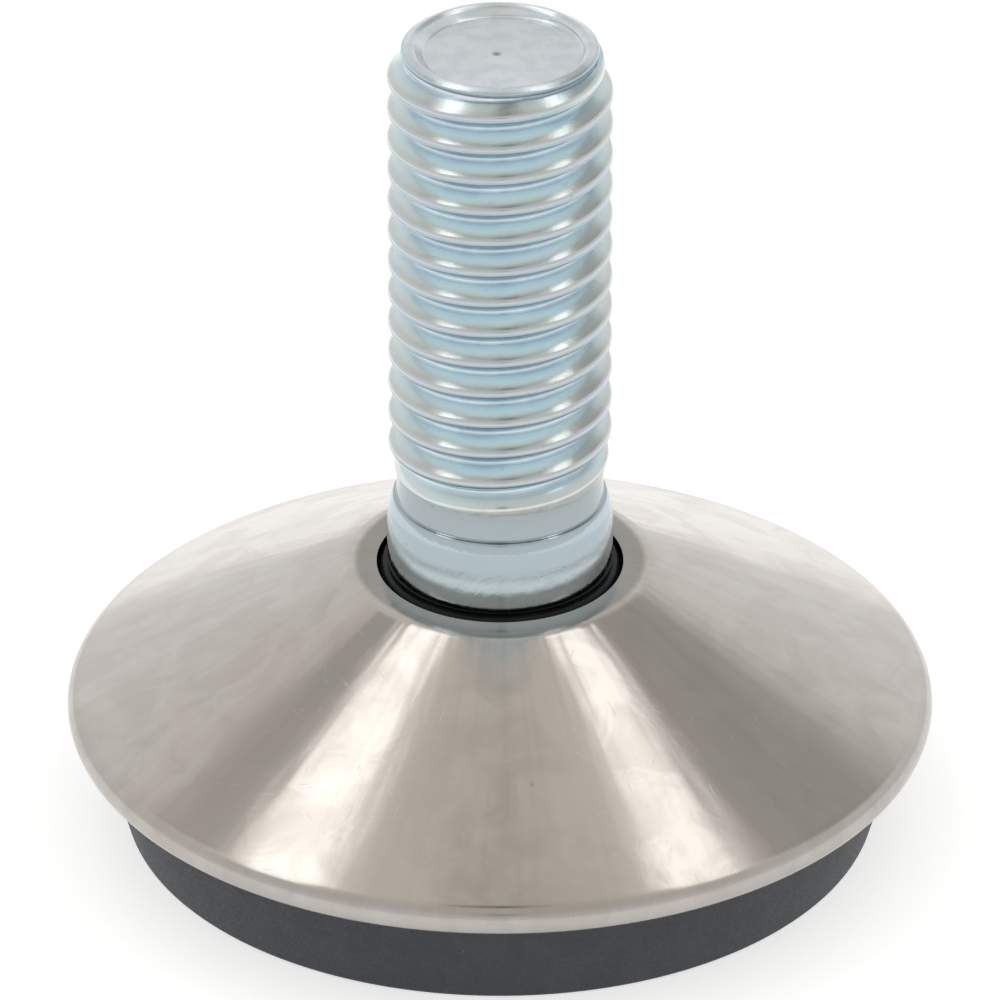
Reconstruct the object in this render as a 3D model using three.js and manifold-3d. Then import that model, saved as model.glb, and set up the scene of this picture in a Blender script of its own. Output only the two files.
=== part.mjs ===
// Furniture levelling foot: an M10 stud on a ball head, in a round plastic base with a stainless cover.
// The stud spins in the ball and the ball tilts in a lined socket, so the foot stands flat on a sloping floor.
// Millimetres, +Z up. The origin is on the floor, under the centre of the foot.

import * as THREE from "three";
import { mergeVertices } from "three/addons/utils/BufferGeometryUtils.js";
import Module from "manifold-3d";

const wasm = await Module();
wasm.setup();

// ---------- driving dimensions ----------

const ROUND = 36; // facets around a turned piece
const STUD_ROUND = 24; // facets around the stud and around one turn of its thread

// Thread: M10 x 1.5, rolled, right-handed
const PITCH = 1.5;
const CREST_R = 4.91;
const ROOT_R = 4.1;
const ROOT_FLAT = 0.3;
const CREST_FLAT = 0.26;

// Stud
const STUD_TOP = 38; // crest of the lip around the cupped end
const LIP_R = 3.9;
const CUP_R = 3.45; // flat floor of the cup
const CUP_FLOOR = 37.55;
const COLLAR_R = 4.97;
const COLLAR_BOTTOM = 12.45;
const COLLAR_TOP = 15.85;
const COLLAR_ROUND = 0.2;
const COLLAR_SHOULDER = 1.1; // how far down the collar its upper edge is rounded off
const SHANK_R = 4.55; // the blank, bare between the collar and the thread
const THREAD_START = 16.85;
const JOURNAL_R = 3.0; // the pin that turns inside the ball
const JOURNAL_END = 2.3;

// Ball head and its socket, all concentric
const BALL_R = 6.5;
const BALL_Z = 8.4;
const BALL_TOP = 12.35;
const BALL_BOTTOM = 3.95;
const BALL_BORE_R = 3.14;
const SOCKET_GAP = 0.12; // between each pair of sliding spheres
const LINER_WALL = 0.58;
const LINER_RIM_Z = 7.5;
const LINER_MOUTH_R = 4.75;
const LINER_IN_R = BALL_R + SOCKET_GAP;
const LINER_OUT_R = LINER_IN_R + LINER_WALL;
const SEAT_R = LINER_OUT_R + SOCKET_GAP;

// Circlip
const CLIP_IN_R = 2.72;
const CLIP_OUT_R = 4.1;
const CLIP_BOTTOM = 3.1;
const CLIP_THICK = 0.7;
const GROOVE_R = 2.6;
const GROOVE_SLACK = 0.1;

// Cover: pressed from sheet
const SHEET = 0.5;
const COVER_R = 19.16;
const COVER_TOP = 12.35;
const HOLE_R = 5.4;
const HOLE_FLARE_R = 5.75; // the hole opens downwards, to clear the ball
const SHOULDER_R = 6.6; // where the flat ring around the hole breaks into the cone
const RIM_ROUND = 0.82;
const RIM_Z = 5.31; // centre of the rim's rounding
const CRIMP_R = 17.85; // inner edge of the rim, folded under the base's flange

// Base body and pad
const UNDER_COVER = 0.2; // gap under the sheet
const BASE_BOTTOM = 1.75;
const BASE_FLOOR = 3.0;
const BASE_WALL_R = 15.8;
const BASE_WALL = 1.9;
const FLANGE_R = 18.2;
const HUB_R = 10.5;
const HUB_TOP = 9.3;
const HUB_BORE_R = 8.9;
const HUB_LEDGE_Z = 8.2;
const POCKET_R = 4.9; // clears the circlip at full tilt
const RIBS = 6;
const RIB_THICK = 1.4;
const PAD_R = 16.6;
const PAD_TOP_R = 17.8;
const PAD_TOP = 4.3;
const PAD_FLOOR = 1.6;
const PAD_WALL_IN_R = 16.05;
const PEG_R = 1.1;
const PEG_RING_R = 12.2;
const PEG_HOLE_R = 1.22;

// Slope of the cover's cone, from its shoulder to the tangent of the rim's rounding
const rimCentreR = COVER_R - RIM_ROUND;
const coneSlope = (() => {
  const run = rimCentreR - SHOULDER_R;
  const drop = COVER_TOP - RIM_Z;
  const reach = Math.hypot(run, drop);
  return Math.atan2(drop, run) - Math.asin(RIM_ROUND / reach);
})();
const coneZ = (r) => COVER_TOP - (r - SHOULDER_R) * Math.tan(coneSlope);
const underSheetZ = (r) => coneZ(r) - SHEET / Math.cos(coneSlope);
const belowCoverZ = (r) => underSheetZ(r) - UNDER_COVER;

// ---------- helpers ----------

const v2 = (r, z) => new THREE.Vector2(r, z);

// Points of an arc in the r-z plane, from angle a to b in radians, ends included.
function arc(centreR, centreZ, radius, a, b, steps) {
  return Array.from({ length: steps + 1 }, (_, i) => {
    const t = a + ((b - a) * i) / steps;
    return v2(centreR + radius * Math.cos(t), centreZ + radius * Math.sin(t));
  });
}

// Points of a sphere about the ball's centre, from height z0 to z1.
function sphereArc(radius, z0, z1, steps) {
  const a = Math.asin((z0 - BALL_Z) / radius);
  const b = Math.asin((z1 - BALL_Z) / radius);
  return arc(0, BALL_Z, radius, a, b, steps);
}

// Height on the lower or upper half of a sphere about the ball's centre, at radius r.
const sphereZ = (radius, r, half) => BALL_Z + half * Math.sqrt(radius ** 2 - r ** 2);

// A turned body: the outline runs from bottom to top on the outside.
function turned(outline, around = ROUND) {
  return new THREE.LatheGeometry(outline, around).rotateX(Math.PI / 2);
}

// A turned ring: the outline goes up the outside and down the inside, and closes on itself.
function turnedRing(outline, around = ROUND) {
  return turned([...outline, outline[0].clone()], around);
}

function solid(geometry) {
  const bare = geometry.clone();
  bare.deleteAttribute("normal");
  bare.deleteAttribute("uv");
  const merged = mergeVertices(bare, 1e-4);
  return new wasm.Manifold(
    new wasm.Mesh({
      numProp: 3,
      vertProperties: merged.attributes.position.array,
      triVerts: new Uint32Array(merged.index.array),
    }),
  );
}

function geometryOf(manifold) {
  const mesh = manifold.getMesh();
  return new THREE.BufferGeometry()
    .setAttribute("position", new THREE.BufferAttribute(mesh.vertProperties, 3))
    .setIndex(new THREE.BufferAttribute(mesh.triVerts, 1));
}

// An extruded outline of the r-z plane, as a plate centred on the XZ plane.
function radialPlate(outline, thickness) {
  return new THREE.ExtrudeGeometry(new THREE.Shape(outline), {
    depth: thickness,
    bevelEnabled: false,
  })
    .translate(0, 0, -thickness / 2)
    .rotateX(Math.PI / 2);
}

// An upright cylinder from z0 to z1.
function post(radius, z0, z1, x, y, around = 12) {
  return new THREE.CylinderGeometry(radius, radius, z1 - z0, around)
    .rotateX(Math.PI / 2)
    .translate(x, y, (z0 + z1) / 2);
}

const ringAngles = (count, offset = 0) =>
  Array.from({ length: count }, (_, i) => (2 * Math.PI * (i + offset)) / count);

// ---------- stud ----------

// A long right-handed screw, closed at both ends by cones. Row i of the grid is one line along the helix;
// after a full turn it meets row i + rows per pitch.
function screw(zStart, turns) {
  const flank = (PITCH - ROOT_FLAT - CREST_FLAT) / 2;
  const profile = [
    [ROOT_R, 0],
    [ROOT_R, ROOT_FLAT],
    [CREST_R, ROOT_FLAT + flank],
    [CREST_R, PITCH - flank],
  ];
  const perPitch = profile.length;
  const rows = perPitch * turns;
  const points = [];
  const at = (i, j) => (j < STUD_ROUND ? i * STUD_ROUND + j : (i + perPitch) * STUD_ROUND);
  for (let i = 0; i <= rows + perPitch; i++) {
    const [r, rise] = profile[i % perPitch];
    for (let j = 0; j < STUD_ROUND; j++) {
      const turn = j / STUD_ROUND;
      const angle = 2 * Math.PI * turn;
      const z = zStart + PITCH * (Math.floor(i / perPitch) + turn) + rise;
      points.push(r * Math.cos(angle), r * Math.sin(angle), z);
    }
  }
  const faces = [];
  for (let i = 0; i < rows; i++)
    for (let j = 0; j < STUD_ROUND; j++) {
      faces.push(at(i, j), at(i, j + 1), at(i + 1, j + 1));
      faces.push(at(i, j), at(i + 1, j + 1), at(i + 1, j));
    }
  // Each end is a helical edge and the step that closes it, joined to a point on the axis.
  const edge = (row) => {
    const round = Array.from({ length: STUD_ROUND }, (_, j) => at(row, j));
    const step = Array.from({ length: perPitch }, (_, k) => at(row + perPitch - k, 0));
    return [...round, ...step];
  };
  const cap = (loop, z, outward) => {
    const centre = points.length / 3;
    points.push(0, 0, z);
    loop.forEach((a, k) => {
      const b = loop[(k + 1) % loop.length];
      faces.push(...(outward > 0 ? [centre, a, b] : [centre, b, a]));
    });
  };
  cap(edge(0), zStart - PITCH, -1);
  cap(edge(rows), zStart + PITCH * (turns + 2), 1);
  return new THREE.BufferGeometry()
    .setAttribute("position", new THREE.Float32BufferAttribute(points, 3))
    .setIndex(faces);
}

// What the rolling dies leave: full crests in the middle, fading out at both ends.
function threadEnvelope() {
  const outline = [
    v2(0, THREAD_START - 1),
    v2(SHANK_R - 0.2, THREAD_START - 1),
    v2(SHANK_R - 0.2, THREAD_START - 0.3),
    v2(CREST_R + 0.02, THREAD_START + 1.3),
    v2(CREST_R + 0.02, STUD_TOP - 1.8),
    v2(4.78, STUD_TOP - 1.4),
    v2(4.35, STUD_TOP - 0.65),
    v2(0, STUD_TOP - 0.65),
  ];
  return turned(outline, STUD_ROUND);
}

function studGeometry() {
  const outline = [
    v2(0, JOURNAL_END),
    v2(JOURNAL_R - 0.3, JOURNAL_END),
    v2(JOURNAL_R, JOURNAL_END + 0.3),
    v2(JOURNAL_R, CLIP_BOTTOM - GROOVE_SLACK),
    v2(GROOVE_R, CLIP_BOTTOM - GROOVE_SLACK),
    v2(GROOVE_R, CLIP_BOTTOM + CLIP_THICK + GROOVE_SLACK),
    v2(JOURNAL_R, CLIP_BOTTOM + CLIP_THICK + GROOVE_SLACK),
    v2(JOURNAL_R, COLLAR_BOTTOM),
    ...arc(COLLAR_R - COLLAR_ROUND, COLLAR_BOTTOM + COLLAR_ROUND, COLLAR_ROUND, -Math.PI / 2, 0, 3),
    v2(COLLAR_R, COLLAR_TOP - COLLAR_SHOULDER),
    v2(COLLAR_R - 0.1, COLLAR_TOP - 0.4 * COLLAR_SHOULDER),
    v2(SHANK_R, COLLAR_TOP),
    v2(SHANK_R, THREAD_START),
    v2(ROOT_R - 0.06, THREAD_START + 1.7),
    v2(ROOT_R - 0.06, STUD_TOP - 1.7),
    v2(4.37, STUD_TOP - 0.8),
    v2(4.35, STUD_TOP - 0.45),
    v2(4.2, STUD_TOP - 0.15),
    v2(LIP_R, STUD_TOP),
    v2(CUP_R + 0.22, STUD_TOP - 0.1),
    v2(CUP_R, CUP_FLOOR),
    v2(0, CUP_FLOOR),
  ];
  const turns = Math.ceil((STUD_TOP - THREAD_START) / PITCH) + 1;
  const thread = solid(screw(THREAD_START - 2 * PITCH, turns + 1)).intersect(solid(threadEnvelope()));
  return geometryOf(thread.add(solid(turned(outline, STUD_ROUND))));
}

// ---------- ball joint ----------

function ballGeometry() {
  return turnedRing([
    v2(BALL_BORE_R, BALL_BOTTOM),
    ...sphereArc(BALL_R, BALL_BOTTOM, BALL_TOP, 9),
    v2(BALL_BORE_R, BALL_TOP),
  ]);
}

function linerGeometry() {
  const inner = sphereArc(LINER_IN_R, LINER_RIM_Z, sphereZ(LINER_IN_R, LINER_MOUTH_R, -1), 4);
  const outer = sphereArc(LINER_OUT_R, sphereZ(LINER_OUT_R, LINER_MOUTH_R, -1), LINER_RIM_Z, 4);
  return turnedRing([...outer, ...inner]);
}

// The snap ring that closes over the ball. Six slots let it spring past the hub's groove.
function retainerGeometry() {
  const outR = HUB_BORE_R - 0.12;
  const bottom = HUB_LEDGE_Z + 0.15;
  const beadZ = 8.85;
  const top = COVER_TOP - SHEET - 0.2;
  const body = turnedRing([
    v2(LINER_IN_R + 0.1, bottom),
    v2(outR, bottom),
    v2(outR, beadZ - 0.25),
    v2(outR + 0.2, beadZ - 0.05),
    v2(outR + 0.2, beadZ + 0.05),
    v2(outR, beadZ + 0.25),
    v2(outR, belowCoverZ(outR)),
    v2(SHOULDER_R, top - 0.1),
    ...sphereArc(LINER_IN_R, top - 0.1, bottom + 0.3, 4),
  ]);
  const slot = new THREE.BoxGeometry(4, 0.8, 2.4);
  return geometryOf(
    ringAngles(6).reduce(
      (ring, angle) =>
        ring.subtract(
          solid(
            slot
              .clone()
              .translate(outR, 0, bottom + 0.6)
              .rotateZ(angle),
          ),
        ),
      solid(body),
    ),
  );
}

// An open retaining ring, with an eye at each end for the pliers.
function clipGeometry() {
  const gap = THREE.MathUtils.degToRad(22);
  const outline = new THREE.Shape();
  outline.absarc(0, 0, CLIP_OUT_R, gap, 2 * Math.PI - gap, false);
  outline.absarc(0, 0, CLIP_IN_R, 2 * Math.PI - gap, gap, true);
  outline.closePath();
  const ring = solid(
    new THREE.ExtrudeGeometry(outline, { depth: CLIP_THICK, bevelEnabled: false, curveSegments: 24 }),
  );
  const eyeR = (CLIP_IN_R + CLIP_OUT_R) / 2;
  const eyes = [gap, -gap].map((angle) => [eyeR * Math.cos(angle), eyeR * Math.sin(angle)]);
  const drilled = eyes.reduce(
    (body, [x, y]) => body.subtract(solid(post(0.32, -1, CLIP_THICK + 1, x, y))),
    eyes.reduce((body, [x, y]) => body.add(solid(post(0.74, 0, CLIP_THICK, x, y, 16))), ring),
  );
  return geometryOf(drilled).translate(0, 0, CLIP_BOTTOM);
}

// ---------- cover, base and pad ----------

function coverGeometry() {
  const normal = Math.PI / 2 - coneSlope; // angle of the cone's outward normal above level
  const shoulderDrop = 0.04;
  return turnedRing([
    v2(CRIMP_R, RIM_Z - RIM_ROUND),
    ...arc(rimCentreR, RIM_Z, RIM_ROUND, -Math.PI / 2, 0, 3),
    ...arc(rimCentreR, RIM_Z, RIM_ROUND, 0, normal, 3).slice(1),
    v2(SHOULDER_R + 0.25, coneZ(SHOULDER_R + 0.25)),
    v2(SHOULDER_R, COVER_TOP - shoulderDrop),
    v2(SHOULDER_R - 0.25, COVER_TOP),
    v2(HOLE_R, COVER_TOP),
    v2(HOLE_FLARE_R, COVER_TOP - SHEET),
    v2(SHOULDER_R - 0.12, COVER_TOP - SHEET),
    v2(SHOULDER_R + 0.2, underSheetZ(SHOULDER_R + 0.2)),
    ...arc(rimCentreR, RIM_Z, RIM_ROUND - SHEET, normal, -Math.PI / 2, 3),
    v2(CRIMP_R, RIM_Z - RIM_ROUND + SHEET),
  ]);
}

function baseGeometry() {
  const flangeStep = CRIMP_R - 0.25;
  const flangeBottom = RIM_Z - RIM_ROUND + SHEET + 0.12;
  const wallInR = BASE_WALL_R - BASE_WALL;
  const body = turnedRing([
    v2(POCKET_R, BASE_BOTTOM),
    v2(BASE_WALL_R, BASE_BOTTOM),
    v2(BASE_WALL_R, PAD_TOP + 0.15),
    v2(flangeStep, PAD_TOP + 0.15),
    v2(flangeStep, flangeBottom),
    v2(FLANGE_R, flangeBottom),
    v2(FLANGE_R, belowCoverZ(FLANGE_R)),
    v2(wallInR, belowCoverZ(wallInR)),
    v2(wallInR, BASE_FLOOR),
    v2(HUB_R, BASE_FLOOR),
    v2(HUB_R, HUB_TOP),
    v2(HUB_BORE_R, HUB_TOP),
    v2(HUB_BORE_R, 9.2),
    v2(HUB_BORE_R + 0.25, 8.95),
    v2(HUB_BORE_R + 0.25, 8.75),
    v2(HUB_BORE_R, 8.5),
    v2(HUB_BORE_R, HUB_LEDGE_Z),
    ...sphereArc(SEAT_R, HUB_LEDGE_Z, sphereZ(SEAT_R, POCKET_R, -1), 4),
  ]);
  const ribInR = HUB_R - 0.3;
  const ribOutR = wallInR + 0.3;
  const rib = radialPlate(
    [
      v2(ribInR, BASE_FLOOR - 0.2),
      v2(ribOutR, BASE_FLOOR - 0.2),
      v2(ribOutR, belowCoverZ(ribOutR)),
      v2(ribInR, HUB_TOP - 0.1),
    ],
    RIB_THICK,
  );
  const ribbed = ringAngles(RIBS).reduce(
    (base, angle) => base.add(solid(rib.clone().rotateZ(angle))),
    solid(body),
  );
  const drilled = ringAngles(RIBS, 0.5).reduce((base, angle) => {
    const [x, y] = [PEG_RING_R * Math.cos(angle), PEG_RING_R * Math.sin(angle)];
    return base.subtract(solid(post(PEG_HOLE_R, 0, BASE_FLOOR + 1, x, y)));
  }, ribbed);
  return geometryOf(drilled);
}

// The tread: flat lands between round grooves. The pegs are its rivets through the base's floor.
function padGeometry() {
  const grooves = [6.5, 11.5];
  const width = 0.9;
  const depth = 0.6;
  const tread = grooves.flatMap((r) => [v2(r, 0), v2(r, depth), v2(r + width, depth), v2(r + width, 0)]);
  const body = turned([
    v2(0, 0),
    ...tread,
    v2(PAD_R - 0.3, 0),
    v2(PAD_R - 0.08, 0.08),
    v2(PAD_R, 0.3),
    v2(PAD_TOP_R, PAD_TOP),
    v2(PAD_WALL_IN_R, PAD_TOP),
    v2(PAD_WALL_IN_R, PAD_FLOOR),
    v2(0, PAD_FLOOR),
  ]);
  const pegged = ringAngles(RIBS, 0.5).reduce((pad, angle) => {
    const [x, y] = [PEG_RING_R * Math.cos(angle), PEG_RING_R * Math.sin(angle)];
    const shank = solid(post(PEG_R, PAD_FLOOR - 0.2, 3.4, x, y));
    const head = solid(post(PEG_HOLE_R + 0.33, BASE_FLOOR + 0.12, 3.7, x, y));
    return pad.add(shank).add(head);
  }, solid(body));
  return geometryOf(pegged);
}

// ---------- materials and assembly ----------

const finish = (color, roughness, metalness) =>
  new THREE.MeshStandardMaterial({ color, roughness, metalness, flatShading: true });

const zincSteel = () => finish(0xb9c6cc, 0.28, 1);
const stainless = () => finish(0xb4aea8, 0.24, 1);
const springSteel = () => finish(0x55524d, 0.4, 1);
const blackNylon = () => finish(0x15191a, 0.4, 0);
const naturalAcetal = () => finish(0xe6e3d8, 0.35, 0);
const slateRubber = () => finish(0x41454c, 0.62, 0);

const foot = new THREE.Group();

function add(name, geometry, material) {
  const mesh = new THREE.Mesh(geometry, material);
  mesh.name = name;
  foot.add(mesh);
}

add("threaded_stud", studGeometry(), zincSteel());
add("circlip", clipGeometry(), springSteel());
add("ball_head", ballGeometry(), blackNylon());
add("socket_liner", linerGeometry(), naturalAcetal());
add("socket_retainer", retainerGeometry(), blackNylon());
add("steel_cover", coverGeometry(), stainless());
add("base_body", baseGeometry(), blackNylon());
add("foot_pad", padGeometry(), slateRubber());

export default foot;
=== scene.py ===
# %% [markdown]
# # A swivelling furniture foot
#
# This script dresses a levelling foot: a threaded steel stud on a ball joint, in a round plastic base
# under a pressed stainless cover. The frame already holds every part at its real size and place. Each
# cell below makes one fine piece for it, or one finish. Outlines are written in millimetres, as on a
# drawing, and Blender works in metres, so one constant converts them.

# %% Load the fixed frame
import math

import bmesh
import bpy
from mathutils import Matrix, Vector


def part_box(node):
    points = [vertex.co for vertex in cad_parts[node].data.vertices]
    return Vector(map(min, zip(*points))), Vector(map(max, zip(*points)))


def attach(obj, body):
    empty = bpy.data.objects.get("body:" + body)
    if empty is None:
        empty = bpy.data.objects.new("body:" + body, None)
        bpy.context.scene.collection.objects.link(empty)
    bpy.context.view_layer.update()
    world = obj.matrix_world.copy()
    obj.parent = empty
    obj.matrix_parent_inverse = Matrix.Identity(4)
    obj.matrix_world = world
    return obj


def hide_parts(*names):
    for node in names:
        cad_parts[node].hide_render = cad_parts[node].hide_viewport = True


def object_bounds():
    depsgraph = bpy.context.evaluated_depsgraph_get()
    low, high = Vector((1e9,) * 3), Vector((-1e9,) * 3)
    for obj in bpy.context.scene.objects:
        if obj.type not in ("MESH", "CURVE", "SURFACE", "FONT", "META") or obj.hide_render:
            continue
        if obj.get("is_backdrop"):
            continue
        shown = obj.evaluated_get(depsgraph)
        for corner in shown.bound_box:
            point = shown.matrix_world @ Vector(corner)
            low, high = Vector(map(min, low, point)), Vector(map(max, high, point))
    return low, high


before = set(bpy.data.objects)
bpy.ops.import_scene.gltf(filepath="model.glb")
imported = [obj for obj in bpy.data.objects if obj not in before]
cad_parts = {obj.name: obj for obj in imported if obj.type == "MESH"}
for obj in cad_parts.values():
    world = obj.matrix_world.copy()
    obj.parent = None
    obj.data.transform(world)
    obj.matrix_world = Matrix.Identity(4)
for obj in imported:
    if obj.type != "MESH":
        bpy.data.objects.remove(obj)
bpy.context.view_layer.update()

MM = 0.001
for node in sorted(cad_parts):
    low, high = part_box(node)
    print(node, "from", [round(c / MM, 2) for c in low], "to", [round(c / MM, 2) for c in high])

# %% [markdown]
# ## Camera
#
# A small product is best seen through a long lens from half a metre away: its near and far edges then
# keep nearly the same scale. The camera looks down at 30 degrees, at a point on the foot's axis a
# little above the cover. It could be aimed with a constraint, but one angle written out is simpler and
# never drifts.

# %% Camera
CAMERA_DISTANCE = 0.55
CAMERA_ELEVATION = math.radians(30.03)
CAMERA_TARGET = Vector((0, 0, 0.01536))
CAMERA_LENS = 450.6
SENSOR_WIDTH = 36

camera_data = bpy.data.cameras.new("camera")
camera_data.sensor_width = SENSOR_WIDTH
camera_data.lens = CAMERA_LENS
camera_data.clip_start = 0.01
camera = bpy.data.objects.new("camera", camera_data)
toward_camera = Vector((0, -math.cos(CAMERA_ELEVATION), math.sin(CAMERA_ELEVATION)))
camera.location = CAMERA_TARGET + CAMERA_DISTANCE * toward_camera
camera.rotation_euler = (math.pi / 2 - CAMERA_ELEVATION, 0, 0)
bpy.context.scene.collection.objects.link(camera)
bpy.context.scene.camera = camera
print("camera at", [round(c, 4) for c in camera.location])

# %% [markdown]
# ## Node helpers
#
# Materials, the room and the floor are all node trees. In the shader editor a node is dropped and wired
# by hand, and in a script each step of that is a line. These helpers add a node and fill its sockets in
# one line, so that each finish below reads as a recipe.

# %% Node helpers
def add(tree, kind, sockets=None, **settings):
    """Adds a shader node. Each socket takes a value or another node's output."""
    node = tree.nodes.new("ShaderNode" + kind)
    for name, value in settings.items():
        setattr(node, name, value)
    for key, value in (sockets or {}).items():
        if isinstance(value, bpy.types.NodeSocket):
            tree.links.new(value, node.inputs[key])
        else:
            node.inputs[key].default_value = value
    return node


def calc(tree, operation, *values):
    return add(tree, "Math", dict(enumerate(values)), operation=operation).outputs[0]


def remap(tree, value, low, high, to_low=0.0, to_high=1.0):
    """Carries a value from one range to another, smoothly, and holds it at the ends."""
    sockets = {"Value": value, "From Min": low, "From Max": high, "To Min": to_low, "To Max": to_high}
    return add(tree, "MapRange", sockets, interpolation_type="SMOOTHSTEP").outputs["Result"]


def mix(tree, factor, first, second, blend="MIX"):
    """Mixes two colours, each a colour or an output."""
    node = add(tree, "Mix", {"Factor": factor}, data_type="RGBA", blend_type=blend)
    for name, value in (("A", first), ("B", second)):
        socket = next(s for s in node.inputs if s.name == name and s.type == "RGBA")
        if isinstance(value, bpy.types.NodeSocket):
            tree.links.new(value, socket)
        else:
            socket.default_value = (*value, 1)
    return next(s for s in node.outputs if s.type == "RGBA")


def ramp(tree, factor, stops):
    """A colour ramp through (position, colour) stops."""
    node = add(tree, "ValToRGB", {"Fac": factor})
    elements = node.color_ramp.elements
    while len(elements) < len(stops):
        elements.new(0.5)
    for element, (position, colour) in zip(elements, stops):
        element.position = position
        element.color = (*colour, 1)
    return node.outputs["Color"]


def bump(tree, height, depth_mm, below=None):
    """Raises the surface by up to depth_mm where height is 1, on top of the bump below."""
    sockets = {"Height": height, "Distance": depth_mm * MM, "Strength": 1.0}
    if below is not None:
        sockets["Normal"] = below
    return add(tree, "Bump", sockets).outputs["Normal"]


def empty_material(name):
    material = bpy.data.materials.new(name)
    material.use_nodes = True
    material.node_tree.nodes.clear()
    return material, material.node_tree


def close_material(tree, shader):
    add(tree, "OutputMaterial", {"Surface": shader.outputs[0]})


helpers = (add, calc, remap, mix, ramp, bump, empty_material, close_material)
print("helpers:", ", ".join(helper.__name__ for helper in helpers))

# %% [markdown]
# ## Light
#
# Polished metal shows its surroundings, so the studio is as much a part of the finish as the material.
# A panorama could light it, but a few plain shapes are easier to place. The room is a pale dome, greyer
# overhead, with small dark spots where the camera and its boom would be, and a wide grey screen hangs
# at either side. Two long soft lights hang high on the left and right, and the cone turns each of them
# into a bright wedge that runs from its hole to its rim. Each shape is placed by the part of the cone
# that has to show it.

# %% What the cone mirrors
CONE_NORMAL = math.radians(63)


def mirrored(azimuth, elevation=CONE_NORMAL):
    """The direction that a surface shows to the camera. The azimuth is in degrees from the front."""
    level = math.cos(elevation)
    azimuth = math.radians(azimuth)
    normal = Vector((level * math.sin(azimuth), -level * math.cos(azimuth), math.sin(elevation)))
    return 2 * normal.dot(toward_camera) * normal - toward_camera


for azimuth in (-40, 0, 40):
    print("at", azimuth, "degrees the cone mirrors", [round(c, 2) for c in mirrored(azimuth)])

# %% Room
ROOM_HORIZON = (0.87, 0.87, 0.87)
ROOM_OVERHEAD = (0.66, 0.645, 0.60)
ROOM_STAND = (0.08, 0.075, 0.07)
ROOM_FLAG = (0.42, 0.41, 0.39)
HORIZON_UP_TO = 0.25
OVERHEAD_FROM = 0.85
BOOM_NORMAL = math.radians(55)
# Each dark patch: where it hangs, its colour, and its outer and inner radius in degrees
DARK_PATCHES = [
    (toward_camera, ROOM_STAND, 6, 3),
    (mirrored(0, BOOM_NORMAL), ROOM_STAND, 8, 3),
    (mirrored(-44), ROOM_FLAG, 12, 2),
    (mirrored(47), ROOM_FLAG, 25, 9),
]

world = bpy.data.worlds.new("studio")
world.use_nodes = True
tree = world.node_tree
tree.nodes.clear()
direction = add(tree, "TexCoord").outputs["Generated"]
height = add(tree, "SeparateXYZ", {0: direction}).outputs["Z"]
room = ramp(tree, height, [(HORIZON_UP_TO, ROOM_HORIZON), (OVERHEAD_FROM, ROOM_OVERHEAD)])
for centre, colour, outer, inner in DARK_PATCHES:
    facing = add(tree, "VectorMath", {0: direction, 1: centre}, operation="DOT_PRODUCT").outputs["Value"]
    patch = remap(tree, facing, math.cos(math.radians(outer)), math.cos(math.radians(inner)))
    room = mix(tree, patch, room, colour)
background = add(tree, "Background", {"Color": room})
add(tree, "OutputWorld", {"Surface": background.outputs[0]})
bpy.context.scene.world = world
bpy.context.scene.view_settings.view_transform = "Standard"
print("room from", ROOM_HORIZON, "to", ROOM_OVERHEAD, "with", len(DARK_PATCHES), "dark patches")

# %% Strip lights
LAMP_DISTANCE = 1.0
LAMP_LENGTH = 0.8
LAMP_FORWARD = 0.16
LAMP_RADIANCE = 1.22
LEFT_WEDGE = (-37, -21)
RIGHT_WEDGE = (20, 34)


def strip_light(name, first, last):
    """A soft light that fills the cone between two azimuths, in degrees from the front."""
    start, end = mirrored(first), mirrored(last)
    away = (start + end).normalized()
    across = (end - start).normalized()
    data = bpy.data.lights.new(name, "AREA")
    data.shape = "RECTANGLE"
    data.size = (end - start).length * LAMP_DISTANCE
    data.size_y = LAMP_LENGTH
    data.energy = LAMP_RADIANCE * math.pi * data.size * data.size_y
    along = away.cross(across)
    forward = along if along.y < 0 else -along
    light = bpy.data.objects.new(name, data)
    light.rotation_euler = Matrix((across, along, away)).transposed().to_euler()
    light.location = LAMP_DISTANCE * away + LAMP_FORWARD * forward
    bpy.context.scene.collection.objects.link(light)
    print(name, "at", [round(c, 3) for c in light.location], "width", round(data.size, 3))


strip_light("left_strip", *LEFT_WEDGE)
strip_light("right_strip", *RIGHT_WEDGE)

# %% [markdown]
# The floor is a plain pale sheet. More light would bleach the foot along with it, so instead the sheet
# glows a little, and stays white around the foot and under its rim.

# %% Floor
FLOOR_HALF = 2.0
FLOOR_COLOUR = (0.72, 0.72, 0.72, 1)
FLOOR_GLOW = 0.58

bm = bmesh.new()
bmesh.ops.create_grid(bm, x_segments=1, y_segments=1, size=FLOOR_HALF)
floor_mesh = bpy.data.meshes.new("floor")
bm.to_mesh(floor_mesh)
bm.free()
floor = bpy.data.objects.new("floor", floor_mesh)
bpy.context.scene.collection.objects.link(floor)
floor_material, tree = empty_material("pale_floor")
paper = {
    "Base Color": FLOOR_COLOUR,
    "Roughness": 0.7,
    "Emission Color": (1, 1, 1, 1),
    "Emission Strength": FLOOR_GLOW,
}
close_material(tree, add(tree, "BsdfPrincipled", paper))
floor_mesh.materials.append(floor_material)
floor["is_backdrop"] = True
print("floor", 2 * FLOOR_HALF, "m wide")

# %% [markdown]
# ## Surface effects
#
# Every piece of this foot is turned, pressed or moulded about one upright axis, so its marks follow
# that axis. Painted textures would need each piece unwrapped, while noise that is read in object space
# needs nothing and keeps its scale. The groups below give those marks once: lines and ripples around
# the axis, clouding, scratches, specks and grain. Each finish places them with its own sizes, all in
# millimetres.

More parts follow.
